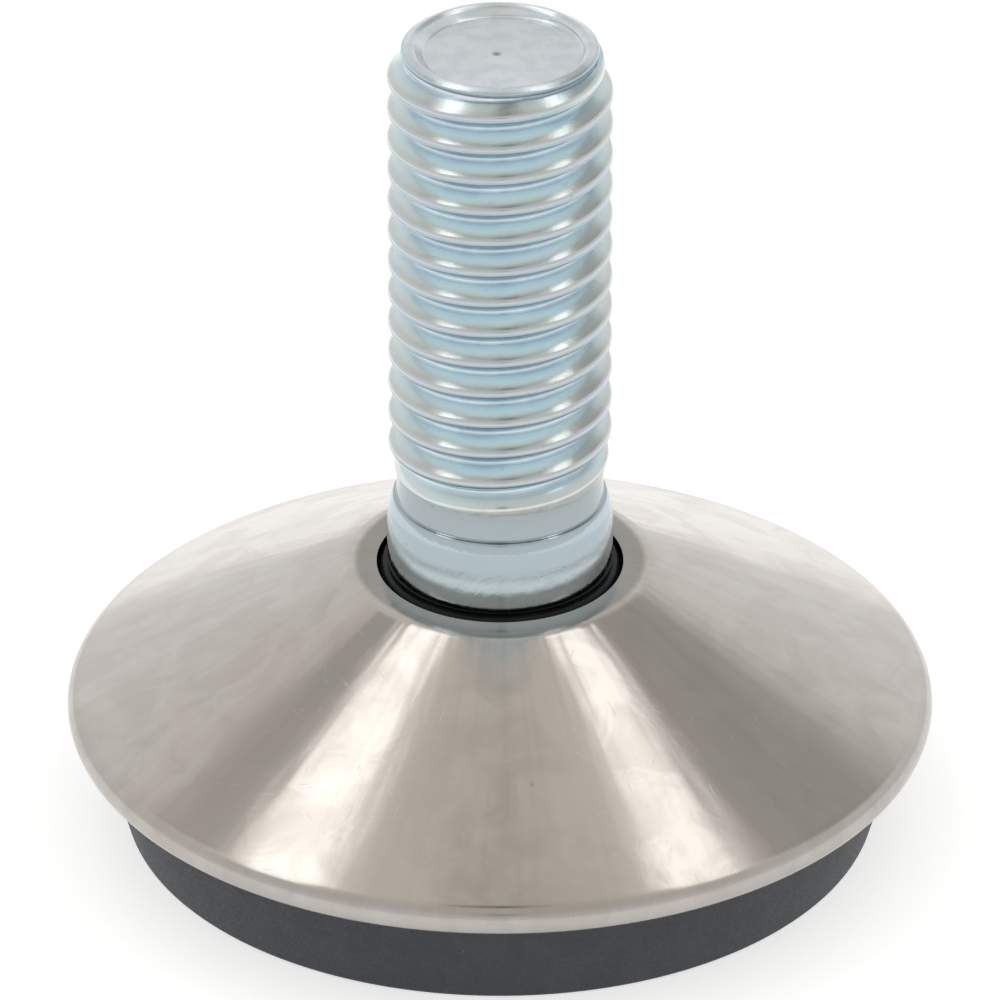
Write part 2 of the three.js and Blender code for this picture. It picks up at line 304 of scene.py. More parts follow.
# %% Group helpers
def new_group(name, inputs, outputs):
    """A shader node group with number sockets. Returns the group, what comes in and where it goes out."""
    group = bpy.data.node_groups.new(name, "ShaderNodeTree")
    for label, value in inputs.items():
        socket = group.interface.new_socket(label, in_out="INPUT", socket_type="NodeSocketFloat")
        socket.default_value = value
    for label in outputs:
        group.interface.new_socket(label, in_out="OUTPUT", socket_type="NodeSocketFloat")
    entry = group.nodes.new("NodeGroupInput")
    leave = group.nodes.new("NodeGroupOutput")
    print("group", name, "gives", ", ".join(outputs))
    return group, entry.outputs, leave.inputs


def place(tree, group, **values):
    """Puts a group into a tree and returns its outputs. Underscores in names stand for spaces."""
    node = tree.nodes.new("ShaderNodeGroup")
    node.node_tree = group
    for key, value in values.items():
        node.inputs[key.replace("_", " ")].default_value = value
    return node.outputs


def place_in_mm(tree):
    here = add(tree, "TexCoord").outputs["Object"]
    return add(tree, "VectorMath", {0: here, "Scale": 1 / MM}, operation="SCALE").outputs[0]


print("groups measure in steps of", MM, "m")

# %% Around the axis
RIPPLE_LENGTHENING = 0.08

round_axis, entry, leave = new_group(
    "round_the_axis",
    {"lines per mm": 6.0, "wander": 2.0, "ripples": 4.0},
    ["lines", "ripples", "radius", "height"],
)
tree = round_axis
split = add(tree, "SeparateXYZ", {0: place_in_mm(tree)}).outputs
flat = add(tree, "CombineXYZ", {0: split["X"], 1: split["Y"]}).outputs[0]
radius = add(tree, "VectorMath", {0: flat}, operation="LENGTH").outputs["Value"]
around = add(tree, "VectorMath", {0: flat}, operation="NORMALIZE").outputs[0]
around = add(tree, "SeparateXYZ", {0: around}).outputs
across = calc(tree, "MULTIPLY", calc(tree, "SUBTRACT", radius, split["Z"]), entry["lines per mm"])
wandering = [calc(tree, "MULTIPLY", around[axis], entry["wander"]) for axis in ("X", "Y")]
rippling = [calc(tree, "MULTIPLY", around[axis], entry["ripples"]) for axis in ("X", "Y")]
line_place = add(tree, "CombineXYZ", {0: across, 1: wandering[0], 2: wandering[1]}).outputs[0]
outward = calc(tree, "MULTIPLY", radius, RIPPLE_LENGTHENING)
ripple_place = add(tree, "CombineXYZ", {0: outward, 1: rippling[0], 2: rippling[1]}).outputs[0]
lines = add(tree, "TexNoise", {"Vector": line_place, "Scale": 1.0, "Detail": 2.0, "Roughness": 0.6})
ripples = add(tree, "TexNoise", {"Vector": ripple_place, "Scale": 1.0, "Detail": 2.0, "Roughness": 0.5})
tree.links.new(lines.outputs[0], leave["lines"])
tree.links.new(ripples.outputs[0], leave["ripples"])
tree.links.new(radius, leave["radius"])
tree.links.new(split["Z"], leave["height"])

# %% Clouding
CLOUD_CLEAR = 0.36
CLOUD_FULL = 0.66

clouding, entry, leave = new_group("clouding", {"size mm": 3.0, "swirl": 0.4}, ["mask"])
tree = clouding
scale = calc(tree, "DIVIDE", 1.0, entry["size mm"])
sockets = {"Vector": place_in_mm(tree), "Scale": scale, "Detail": 4.0, "Roughness": 0.55}
noise = add(tree, "TexNoise", sockets | {"Distortion": entry["swirl"]})
tree.links.new(remap(tree, noise.outputs[0], CLOUD_CLEAR, CLOUD_FULL), leave["mask"])

# %% Scratches
SCRATCH_TURNS = (0.35, 1.9, 2.6)
SCRATCH_STEP = (7.3, 3.1, 0)
SCRATCH_STRETCH = 22.0
SCRATCH_PEAK = 0.86
SCRATCH_HARDNESS = 14.0

scratching, entry, leave = new_group("scratches", {"spacing mm": 1.2, "share": 0.2}, ["mask"])
tree = scratching
scale = calc(tree, "DIVIDE", 1.0, entry["spacing mm"])
deepest = None
for number, turn_angle in enumerate(SCRATCH_TURNS):
    moved = [number * distance for distance in SCRATCH_STEP]
    sockets = {"Vector": place_in_mm(tree), "Rotation": (0, 0, turn_angle), "Location": moved}
    turned = add(tree, "Mapping", sockets).outputs[0]
    sockets = {0: turned, 1: (SCRATCH_STRETCH, 1.0, 1.0)}
    stretched = add(tree, "VectorMath", sockets, operation="MULTIPLY").outputs[0]
    noise = add(tree, "TexNoise", {"Vector": stretched, "Scale": scale, "Detail": 1.0})
    edge = calc(tree, "SUBTRACT", SCRATCH_PEAK, entry["share"])
    over = calc(tree, "SUBTRACT", noise.outputs[0], edge)
    mark = calc(tree, "MULTIPLY", over, SCRATCH_HARDNESS)
    deepest = mark if deepest is None else calc(tree, "MAXIMUM", deepest, mark)
tree.links.new(add(tree, "Clamp", {"Value": deepest}).outputs[0], leave["mask"])

# %% Specks
specking, entry, leave = new_group("specks", {"spacing mm": 0.5, "share": 0.2, "size": 0.3}, ["mask"])
tree = specking
scale = calc(tree, "DIVIDE", 1.0, entry["spacing mm"])
cells = add(tree, "TexVoronoi", {"Vector": place_in_mm(tree), "Scale": scale})
lot = add(tree, "SeparateColor", {"Color": cells.outputs["Color"]}).outputs[0]
chosen = calc(tree, "LESS_THAN", lot, entry["share"])
near = remap(tree, cells.outputs["Distance"], entry["size"], 0.0)
tree.links.new(calc(tree, "MULTIPLY", chosen, near), leave["mask"])

# %% Grain
graining, entry, leave = new_group("grain", {"size mm": 0.12}, ["height"])
tree = graining
scale = calc(tree, "DIVIDE", 1.0, entry["size mm"])
sockets = {"Vector": place_in_mm(tree), "Scale": scale, "Detail": 3.0, "Roughness": 0.6}
noise = add(tree, "TexNoise", sockets)
tree.links.new(noise.outputs[0], leave["height"])

# %% [markdown]
# ## Stainless sheet
#
# The cover is pressed from bright stainless sheet. Pressing leaves soft ripples that run from the hole
# to the rim, and polishing on a lathe leaves faint lines around it. Roughness alone would blur its
# reflections evenly, so the marks are made as relief: the ripples bend the edges of the reflections,
# the lines and an anisotropic gloss blur them along the cone, and handling adds hairline scratches and
# small pits. The sheet grows rougher and darker towards the rim's lower edge, and painted shade darkens
# a ring round the hole.

# %% Metal shader and stainless colours
STEEL_BRIGHT = (0.62, 0.585, 0.55)
STEEL_CLOUDED = (0.55, 0.51, 0.475)
STEEL_PIT = (0.30, 0.27, 0.25)
# Painted shade round the hole, next to the stud's collar
STEEL_HOLE_SHADE = (0.26, 0.26, 0.24)
STEEL_STREAK = (0.44, 0.40, 0.37)
# Darker towards the rim's lower edge
STEEL_RIM_DARK = (0.05, 0.05, 0.05)
HOLE_SHADE_INSIDE = (6.55, 6.2)
RIM_DARK_BELOW = (6.15, 5.7)
QUARTER_TURN = 0.25


def metal_shader(tree, colour, roughness, normal, stretch=0.0):
    sockets = {"Base Color": colour, "Roughness": roughness, "Normal": normal, "Metallic": 1.0}
    if stretch:
        radial = add(tree, "Tangent", direction_type="RADIAL", axis="Z")
        sockets |= {
            "Anisotropic": stretch,
            "Anisotropic Rotation": QUARTER_TURN,
            "Tangent": radial.outputs[0],
        }
    return add(tree, "BsdfPrincipled", sockets)


# Prints where the painted shade round the hole ends and where the rim starts to darken
print("steel soiled inside radius", HOLE_SHADE_INSIDE[0], "and worn below height", RIM_DARK_BELOW[0])

# %% Stainless
stainless, tree = empty_material("stainless_sheet")
axis = place(tree, round_axis, lines_per_mm=5.0, wander=1.6, ripples=5.0)
cloud = place(tree, clouding, size_mm=2.6, swirl=0.8)["mask"]
scratch = place(tree, scratching, spacing_mm=1.6, share=0.13)["mask"]
pits = place(tree, specking, spacing_mm=1.3, share=0.10, size=0.10)["mask"]
colour = mix(tree, calc(tree, "MULTIPLY", cloud, 0.75), STEEL_BRIGHT, STEEL_CLOUDED)
colour = mix(tree, calc(tree, "MULTIPLY", pits, 0.45), colour, STEEL_PIT)
streaks = place(tree, round_axis, lines_per_mm=5.0, wander=1.6, ripples=24.0)["ripples"]
colour = mix(tree, remap(tree, streaks, 0.42, 0.72, 0.0, 0.14), colour, STEEL_STREAK)
# Painted shade: the sheet is darkened in a ring round the hole, next to the stud's collar
hole_shade = remap(tree, axis["radius"], *HOLE_SHADE_INSIDE)
colour = mix(tree, calc(tree, "MULTIPLY", hole_shade, 0.68), colour, STEEL_HOLE_SHADE)
# Rougher and darker towards the rim's lower edge
rim_lower_edge = remap(tree, axis["height"], *RIM_DARK_BELOW)
colour = mix(tree, calc(tree, "MULTIPLY", rim_lower_edge, 0.26), colour, STEEL_RIM_DARK)
roughness = calc(tree, "ADD", 0.155, calc(tree, "MULTIPLY", cloud, 0.05))
roughness = calc(tree, "ADD", roughness, calc(tree, "MULTIPLY", scratch, 0.12))
roughness = calc(tree, "ADD", roughness, calc(tree, "MULTIPLY", rim_lower_edge, 0.06))
normal = bump(tree, axis["ripples"], 0.04)
normal = bump(tree, cloud, 0.0012, normal)
normal = bump(tree, axis["lines"], 0.0010, normal)
normal = bump(tree, calc(tree, "SUBTRACT", 1.0, scratch), 0.0003, normal)
normal = bump(tree, calc(tree, "SUBTRACT", 1.0, pits), 0.006, normal)
close_material(tree, metal_shader(tree, colour, roughness, normal, stretch=0.5))
print(stainless.name, len(tree.nodes), "nodes")

# %% [markdown]
# ## Bright zinc
#
# The stud is plated with zinc and dipped in a clear passivation. Its skin is so thin that it colours
# the light: mostly a cold blue, and straw or grey where it is thinner, as on the crests. The colour
# could be worked out from the thickness of the film, but a short ramp that runs from the roots to the
# crests gives the same bands and is easy to adjust. Painted shade darkens the crests where they face
# level or down, the bare shank and the neck under the lip. The collar is painted in bands of light and
# shade: darker in the middle, and brighter at its brow, foot and hem as painted reflection.

# %% Zinc colours
ZINC_FILM = [
    (0.00, (0.46, 0.57, 0.65)),
    (0.20, (0.55, 0.68, 0.75)),
    (0.50, (0.62, 0.73, 0.76)),
    (0.70, (0.64, 0.71, 0.70)),
    (0.86, (0.62, 0.66, 0.65)),
    (1.00, (0.60, 0.64, 0.67)),
]
ZINC_END = (0.74, 0.79, 0.83)
ZINC_END_CLOUDED = (0.66, 0.72, 0.76)
# Painted shade for crests that face level
ZINC_CREST_SHADE = (0.38, 0.465, 0.50)
# The collar's colours paint light and shade: darker in the middle, brighter at brow, foot and hem
ZINC_COLLAR = (0.38, 0.45, 0.485)
ZINC_BROW_PAINTED_LIGHT = (0.44, 0.52, 0.56)
ZINC_FOOT_PAINTED_LIGHT = (0.56, 0.66, 0.71)
ZINC_HEM_PAINTED_LIGHT = (0.68, 0.78, 0.83)
# Painted shade on the bare shank under the thread
ZINC_SHANK_SHADE = (0.35, 0.40, 0.42)
# Painted shade for the crests' undersides
ZINC_UNDERSIDE_SHADE = (0.40, 0.51, 0.60)
ZINC_PIT = (0.25, 0.27, 0.27)
# Painted shade under the lip
ZINC_NECK_SHADE = (0.24, 0.28, 0.31)
print("zinc film of", len(ZINC_FILM), "colours")

# %% Zinc zones
# Each pair is a radius, a height or a slope: a look starts at the first and is full at the second
FILM_RADII = (3.95, 4.95)
CREST_RADII = (4.70, 4.86)
END_RADII = (4.29, 4.1)
FACING_UP = (0.0, 0.35)
FACING_DOWN = (-0.05, -0.4)
FACING_OUT = (0.45, 0.15)
NECK_ABOVE = (37.3, 37.4)
SHANK_BELOW = (17.3, 17.2)
SMOOTH_BELOW = (17.6, 17.0)
COLLAR_BELOW = (15.95, 15.8)
BROW_ABOVE = (15.25, 15.4)
FOOT_BELOW = (14.3, 13.8)
HEM_BELOW = (13.4, 13.15)

PUNCH_MARK = (-0.14, 0, 37.55)
PUNCH_REACH = (0.30, 0.05)
THREAD_ROUGHNESS = 0.19
SHANK_ROUGHNESS = 0.12
print("thread from height", SHANK_BELOW[0], "to", NECK_ABOVE[1])

# %% Zinc marks
zinc, tree = empty_material("zinc_steel")
axis = place(tree, round_axis, lines_per_mm=7.0, wander=1.5, ripples=6.0)
film = place(tree, clouding, size_mm=4.0, swirl=0.6)["mask"]
fine_film = place(tree, clouding, size_mm=1.1, swirl=0.4)["mask"]
scratch = place(tree, scratching, spacing_mm=0.7, share=0.12)["mask"]
pits = place(tree, specking, spacing_mm=0.6, share=0.12, size=0.2)["mask"]
tint = calc(tree, "ADD", calc(tree, "MULTIPLY", film, 0.7), calc(tree, "MULTIPLY", fine_film, 0.3))
facing = add(tree, "SeparateXYZ", {0: add(tree, "TexCoord").outputs["Normal"]}).outputs["Z"]
neck = remap(tree, axis["height"], *NECK_ABOVE)
end = calc(tree, "MULTIPLY", neck, remap(tree, axis["radius"], *END_RADII))
sockets = {0: place_in_mm(tree), 1: PUNCH_MARK}
from_punch = add(tree, "VectorMath", sockets, operation="DISTANCE").outputs["Value"]
punch = remap(tree, from_punch, *PUNCH_REACH, 0.0, 0.8)
print(zinc.name, len(tree.nodes), "nodes for its marks")

# %% Zinc colour
depth = remap(tree, axis["radius"], *FILM_RADII)
depth = calc(tree, "ADD", depth, calc(tree, "MULTIPLY", calc(tree, "SUBTRACT", tint, 0.5), 0.34))
crest = remap(tree, axis["radius"], *CREST_RADII)
upward = remap(tree, facing, *FACING_UP)
under = remap(tree, facing, *FACING_DOWN)
colour = ramp(tree, depth, ZINC_FILM)
# Painted shade on the crests: darker where they face level, darker and bluer where they face down
crest_shade = mix(tree, upward, ZINC_CREST_SHADE, colour)
crest_shade = mix(tree, under, crest_shade, ZINC_UNDERSIDE_SHADE)
colour = mix(tree, crest, colour, crest_shade)
shank = remap(tree, axis["height"], *SHANK_BELOW)
collar = remap(tree, axis["height"], *COLLAR_BELOW)
# Painted reflection on the collar: bands by height, brighter at the brow, foot and hem than the middle
foot_light = remap(tree, axis["height"], *FOOT_BELOW)
hem_light = remap(tree, axis["height"], *HEM_BELOW)
brow_light = remap(tree, axis["height"], *BROW_ABOVE)
collar_light_and_shade = mix(tree, brow_light, ZINC_COLLAR, ZINC_BROW_PAINTED_LIGHT)
collar_light_and_shade = mix(tree, foot_light, collar_light_and_shade, ZINC_FOOT_PAINTED_LIGHT)
collar_light_and_shade = mix(tree, hem_light, collar_light_and_shade, ZINC_HEM_PAINTED_LIGHT)
# Below the thread: painted shade on the bare shank, and the collar's painted bands
colour = mix(tree, shank, colour, mix(tree, collar, ZINC_SHANK_SHADE, collar_light_and_shade))
# Painted shade on the neck's level-facing wall under the lip
neck_shade = calc(tree, "MULTIPLY", neck, remap(tree, facing, *FACING_OUT))
colour = mix(tree, neck_shade, colour, ZINC_NECK_SHADE)
colour = mix(tree, end, colour, mix(tree, fine_film, ZINC_END, ZINC_END_CLOUDED))
colour = mix(tree, punch, colour, ZINC_PIT)
colour = mix(tree, calc(tree, "MULTIPLY", pits, 0.4), colour, ZINC_PIT)
print(zinc.name, len(tree.nodes), "nodes with its colour")

# %% Zinc gloss and relief
roughness = remap(tree, axis["height"], *SMOOTH_BELOW, THREAD_ROUGHNESS, SHANK_ROUGHNESS)
roughness = calc(tree, "ADD", roughness, calc(tree, "MULTIPLY", end, 0.06))
roughness = calc(tree, "ADD", roughness, calc(tree, "MULTIPLY", fine_film, 0.03))
roughness = calc(tree, "ADD", roughness, calc(tree, "MULTIPLY", scratch, 0.04))
roughness = calc(tree, "ADD", roughness, calc(tree, "MULTIPLY", punch, 0.3))
normal = bump(tree, film, 0.01)
normal = bump(tree, fine_film, 0.0025, normal)
normal = bump(tree, axis["lines"], 0.0012, normal)
normal = bump(tree, calc(tree, "SUBTRACT", 1.0, pits), 0.006, normal)
normal = bump(tree, calc(tree, "SUBTRACT", 1.0, scratch), 0.0006, normal)
close_material(tree, metal_shader(tree, colour, roughness, normal))
print(zinc.name, len(tree.nodes), "nodes")

# %% [markdown]
# ## Spring steel
#
# The circlip is phosphated: a dark, slightly velvety crystal coat, worn bright on its flat faces. The
# zinc's finish would be too smooth and too blue for it, so it gets a finish of its own, with grain in
# its gloss and bright scratches.

# %% Spring steel
PHOSPHATE_DARK = (0.11, 0.105, 0.10)
PHOSPHATE_LIGHT = (0.19, 0.18, 0.165)
SPRING_WORN = (0.45, 0.43, 0.40)

spring, tree = empty_material("spring_steel")
grain = place(tree, graining, size_mm=0.05)["height"]
cloud = place(tree, clouding, size_mm=0.8, swirl=0.5)["mask"]
scratch = place(tree, scratching, spacing_mm=0.5, share=0.2)["mask"]
colour = mix(tree, cloud, PHOSPHATE_DARK, PHOSPHATE_LIGHT)
colour = mix(tree, calc(tree, "MULTIPLY", scratch, 0.7), colour, SPRING_WORN)
roughness = remap(tree, grain, 0.3, 0.7, 0.34, 0.52)
normal = bump(tree, calc(tree, "SUBTRACT", 1.0, scratch), 0.002, bump(tree, grain, 0.004))
close_material(tree, metal_shader(tree, colour, roughness, normal))
print(spring.name, len(tree.nodes), "nodes")

# %% [markdown]
# ## Plastics and rubber
#
# Moulded parts copy the surface of their mould. A turned mould leaves faint rings, a spark-eroded one
# leaves a fine grain, and the melt leaves clouding. The pad is a slate grey rubber with light filler
# specks, the ball and base are black nylon that shines little, and the liner is waxy white acetal.
# Three separate materials could be built, but they differ only in their numbers, so one function makes
# them all.

# %% Moulded finishes
def moulded(name, tones, roughness_range, grain_mm, grain_depth, specks, speck_colour, specular=0.5):
    """A moulded finish between two tones, with a range of roughness, grain and a share of specks."""
    material, tree = empty_material(name)
    axis = place(tree, round_axis, lines_per_mm=4.0, wander=0.6, ripples=3.0)
    cloud = place(tree, clouding, size_mm=1.8, swirl=0.5)["mask"]
    grain = place(tree, graining, size_mm=grain_mm)["height"]
    scratch = place(tree, scratching, spacing_mm=1.1, share=0.14)["mask"]
    filler = place(tree, specking, spacing_mm=0.55, share=specks, size=0.16)["mask"]
    colour = mix(tree, cloud, *tones)
    colour = mix(tree, calc(tree, "MULTIPLY", filler, 0.55), colour, speck_colour)
    roughness = remap(tree, grain, 0.3, 0.7, *roughness_range)
    roughness = calc(tree, "ADD", roughness, calc(tree, "MULTIPLY", scratch, 0.08))
    normal = bump(tree, grain, grain_depth)
    normal = bump(tree, axis["lines"], 0.002, normal)
    normal = bump(tree, calc(tree, "SUBTRACT", 1.0, scratch), 0.002, normal)
    sockets = {"Base Color": colour, "Roughness": roughness, "Normal": normal}
    close_material(tree, add(tree, "BsdfPrincipled", sockets | {"Specular IOR Level": specular}))
    print(name, len(tree.nodes), "nodes")
    return material


# %% Rubber, nylon and acetal
slate = moulded(
    "slate_rubber",
    tones=((0.0185, 0.0235, 0.029), (0.024, 0.029, 0.037)),
    roughness_range=(0.52, 0.66),
    grain_mm=0.16,
    grain_depth=0.008,
    specks=0.10,
    speck_colour=(0.09, 0.10, 0.12),
)
nylon = moulded(
    "black_plastic",
    tones=((0.006, 0.0075, 0.008), (0.010, 0.012, 0.013)),
    roughness_range=(0.22, 0.34),
    grain_mm=0.10,
    grain_depth=0.002,
    specks=0.04,
    speck_colour=(0.02, 0.02, 0.02),
    specular=0.16,
)
acetal = moulded(
    "white_plastic",
    tones=((0.74, 0.72, 0.66), (0.81, 0.79, 0.74)),
    roughness_range=(0.28, 0.40),
    grain_mm=0.12,
    grain_depth=0.003,
    specks=0.03,
    speck_colour=(0.6, 0.57, 0.5),
)

# %% [markdown]
# ## Outlines and turning
#
# Most pieces are bodies of revolution, so they start as half of a section: a chain of points at one
# side of the axis. A modifier could turn it, but the spin operator leaves a finished mesh. Corners are
# rounded with a vertex bevel before the spin, because afterwards there would be hundreds of edges to
# bevel.

# %% Outline helpers
ROUND_STEPS = 256
SMALL_ROUND_STEPS = 160


def outline(corners, segments=4):
    """Corners are a radius, a height and maybe a rounding, in mm. A rounded corner becomes an arc."""
    bm = bmesh.new()
    verts = [bm.verts.new((corner[0], 0, corner[1])) for corner in corners]
    for a, b in zip(verts, verts[1:]):
        bm.edges.new((a, b))
    for rounding in sorted({corner[2] for corner in corners if len(corner) == 3}):
        chosen = [v for v, corner in zip(verts, corners) if len(corner) == 3 and corner[2] == rounding]
        bmesh.ops.bevel(
            bm,
            geom=chosen,
            offset=rounding,
            offset_type="OFFSET",
            segments=segments,
            profile=0.5,
            affect="VERTICES",
            material=-1,
        )
    here, last, points = verts[0], None, []
    while here is not None:
        points.append((here.co.x, here.co.z))
        ahead = [e.other_vert(here) for e in here.link_edges if e.other_vert(here) is not last]
        last, here = here, ahead[0] if ahead else None
    bm.free()
    return points


def arc(centre_r, centre_z, radius, start, end, steps):
    """Points of an arc from one angle to another, in degrees above level."""
    angles = [math.radians(start + (end - start) * i / steps) for i in range(steps + 1)]
    return [(centre_r + radius * math.cos(a), centre_z + radius * math.sin(a)) for a in angles]


def turn(bm, points, segments, closed=False, centre=(0, 0)):
    """Spins a chain of (radius, height) points in mm about an upright axis through the centre."""
    x, y = centre
    verts = [bm.verts.new(((x + r) * MM, y * MM, z * MM)) for r, z in points]
    edges = [bm.edges.new(pair) for pair in zip(verts, verts[1:])]
    if closed:
        edges.append(bm.edges.new((verts[-1], verts[0])))
    bmesh.ops.spin(
        bm,
        geom=verts + edges,
        cent=(x * MM, y * MM, 0),
        axis=(0, 0, 1),
        dvec=(0, 0, 0),
        angle=math.tau,
        steps=segments,
        use_merge=True,
    )
    bmesh.ops.remove_doubles(bm, verts=bm.verts[:], dist=1e-7)


print("wide pieces take", ROUND_STEPS, "steps around, small ones", SMALL_ROUND_STEPS)

# %% Finishing a piece
SHARP_ANGLE = math.radians(32)


def finish_piece(bm, name, body, node, material):
    """Makes the mesh an object with its finish, on its body, in place of its CAD node."""
    bmesh.ops.recalc_face_normals(bm, faces=bm.faces[:])
    mesh = bpy.data.meshes.new(name)
    bm.to_mesh(mesh)
    open_edges = sum(1 for e in bm.edges if len(e.link_faces) != 2)
    volume = bm.calc_volume(signed=True) / MM**3
    bm.free()
    mesh.shade_smooth()
    mesh.set_sharp_from_angle(angle=SHARP_ANGLE)
    mesh.materials.append(material)
    piece = bpy.data.objects.new(name, mesh)
    bpy.context.scene.collection.objects.link(piece)
    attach(piece, body)
    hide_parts(node)
    print(name, len(mesh.polygons), "faces,", open_edges, "open edges,", round(volume, 1), "mm3")
    return piece


# %% [markdown]
# ## Cover
#
# One disc of half-millimetre stainless sheet, pressed into a shallow cone. Its hole opens a little
# downwards, the flat ring around the hole breaks into the cone at a soft shoulder, and the rim is
# rolled under to grip the base. A single surface could be thickened afterwards, but the rolled rim
# needs two exact arcs, so both faces of the sheet are drawn in one closed outline.

# %% Cover sizes
COVER_R = 19.16
COVER_TOP = 12.35
SHEET = 0.5
HOLE_R = 5.4
HOLE_FLARE = 0.35
HOLE_ROUND = 0.08
SHOULDER_R = 6.6
SHOULDER_ROUND = 0.35
UNDER_SHOULDER_ROUND = 0.3
CONE_START = 2
RIM_ROUND = 0.82
RIM_Z = 5.31
CRIMP_R = 17.85
rim_centre_r = COVER_R - RIM_ROUND
run = rim_centre_r - SHOULDER_R
drop = COVER_TOP - RIM_Z
cone_slope = math.atan2(drop, run) - math.asin(RIM_ROUND / math.hypot(run, drop))
cone_normal = 90 - math.degrees(cone_slope)
print("cone slopes", round(math.degrees(cone_slope), 1), "degrees")


def cone_z(r):
    return COVER_TOP - (r - SHOULDER_R) * math.tan(cone_slope)


def under_sheet_z(r):
    return cone_z(r) - SHEET / math.cos(cone_slope)


# %% Cover outline and spin
under_shoulder_r = SHOULDER_R - SHEET * math.tan(cone_slope / 2)
points = [(CRIMP_R, RIM_Z - RIM_ROUND)]
points += arc(rim_centre_r, RIM_Z, RIM_ROUND, -90, cone_normal, 20)
points += outline(
    [
        (SHOULDER_R + CONE_START, cone_z(SHOULDER_R + CONE_START)),
        (SHOULDER_R, COVER_TOP, SHOULDER_ROUND),
        (HOLE_R, COVER_TOP, HOLE_ROUND),
        (HOLE_R + HOLE_FLARE, COVER_TOP - SHEET),
        (under_shoulder_r, COVER_TOP - SHEET, UNDER_SHOULDER_ROUND),
        (under_shoulder_r + CONE_START, under_sheet_z(under_shoulder_r + CONE_START)),
    ]
)
points += arc(rim_centre_r, RIM_Z, RIM_ROUND - SHEET, cone_normal, -90, 12)
points += [(CRIMP_R, RIM_Z - RIM_ROUND + SHEET)]
bm = bmesh.new()
turn(bm, points, ROUND_STEPS, closed=True)
finish_piece(bm, "cover", "base", "steel_cover", stainless)

# %% [markdown]
# ## Pad
#
# A moulded cup of rubber that slips over the base from below. Two grooves ring its tread, its wall
# leans outwards up to the cover's rim, and six rivets moulded on its floor snap through holes in the
# base. A boolean could join the rivets to the cup, but nobody sees that seam, so each rivet is a closed
# body that starts just inside the floor.

# %% Pad sizes
PAD_R = 16.6
PAD_TOP_R = 17.8
PAD_TOP = 4.3
PAD_FLOOR = 1.6
PAD_WALL_IN_R = 16.05
GROOVES = (6.5, 11.5)
GROOVE_WIDTH = 0.9
GROOVE_DEPTH = 0.6
GROOVE_ROUND = 0.1
RIVETS = 6
RIVET_RING_R = 12.2
RIVET_R = 1.1
RIVET_HEAD_R = 1.55
RIVET_HEAD_Z = 3.12
RIVET_TOP = 3.7
RIVET_SUNK = 0.2
RIVET_STEPS = 32
print("pad", 2 * PAD_TOP_R, "mm across with", RIVETS, "rivets")

# %% Pad outline and spin
tread = []
for r in GROOVES:
    tread += [(r, 0, GROOVE_ROUND), (r, GROOVE_DEPTH, GROOVE_ROUND)]
    tread += [(r + GROOVE_WIDTH, GROOVE_DEPTH, GROOVE_ROUND), (r + GROOVE_WIDTH, 0, GROOVE_ROUND)]
bm = bmesh.new()
turn(
    bm,
    outline(
        [(0, 0)]
        + tread
        + [
            (PAD_R, 0, 0.22),
            (PAD_TOP_R, PAD_TOP, 0.2),
            (PAD_WALL_IN_R, PAD_TOP, 0.1),
            (PAD_WALL_IN_R, PAD_FLOOR, 0.3),
            (0, PAD_FLOOR),
        ]
    ),
    ROUND_STEPS,
)
print("cup of", len(bm.faces), "faces")

# %% Rivets
rivet = outline(
    [
        (0, PAD_FLOOR - RIVET_SUNK),
        (RIVET_R, PAD_FLOOR - RIVET_SUNK),
        (RIVET_R, RIVET_HEAD_Z),
        (RIVET_HEAD_R, RIVET_HEAD_Z, 0.08),
        (RIVET_HEAD_R, RIVET_TOP, 0.3),
        (0, RIVET_TOP),
    ]
)
for i in range(RIVETS):
    angle = math.tau * (i + 0.5) / RIVETS
    centre = (RIVET_RING_R * math.cos(angle), RIVET_RING_R * math.sin(angle))
    turn(bm, rivet, RIVET_STEPS, centre=centre)
finish_piece(bm, "pad", "base", "foot_pad", slate)

# %% [markdown]
# ## Ball and liner
#
# The ball is moulded in black nylon with flats above and below, and the stud's pin turns in its bore. A
# thin white bowl of slippery acetal lies under it and lets it tilt. A sphere could be cut with planes,
# but an arc in the outline gives the sphere, its flats and its bore in one spin.

# %% Ball
BALL_R = 6.5
BALL_Z = 8.4
BALL_TOP = 12.35
BALL_BOTTOM = 3.95
BALL_BORE_R = 3.14


def on_sphere(radius, r, half):
    """Height on the lower (-1) or upper (1) half of a sphere about the ball's centre."""
    return BALL_Z + half * math.sqrt(radius**2 - r**2)


def sphere_arc(radius, z0, z1, steps):
    start = math.degrees(math.asin((z0 - BALL_Z) / radius))
    end = math.degrees(math.asin((z1 - BALL_Z) / radius))
    return arc(0, BALL_Z, radius, start, end, steps)


points = [(BALL_BORE_R, BALL_BOTTOM)]
points += sphere_arc(BALL_R, BALL_BOTTOM, BALL_TOP, 40)
points += [(BALL_BORE_R, BALL_TOP)]
bm = bmesh.new()
turn(bm, points, SMALL_ROUND_STEPS, closed=True)
finish_piece(bm, "ball", "ball", "ball_head", nylon)

# %% Liner
SLIDING_GAP = 0.12
LINER_IN_R = BALL_R + SLIDING_GAP
LINER_WALL = 0.58
LINER_OUT_R = LINER_IN_R + LINER_WALL
LINER_RIM_Z = 7.5
LINER_MOUTH_R = 4.75
points = sphere_arc(LINER_OUT_R, on_sphere(LINER_OUT_R, LINER_MOUTH_R, -1), LINER_RIM_Z, 20)
points += sphere_arc(LINER_IN_R, LINER_RIM_Z, on_sphere(LINER_IN_R, LINER_MOUTH_R, -1), 20)
bm = bmesh.new()
turn(bm, points, SMALL_ROUND_STEPS, closed=True)
finish_piece(bm, "liner", "liner", "socket_liner", acetal)

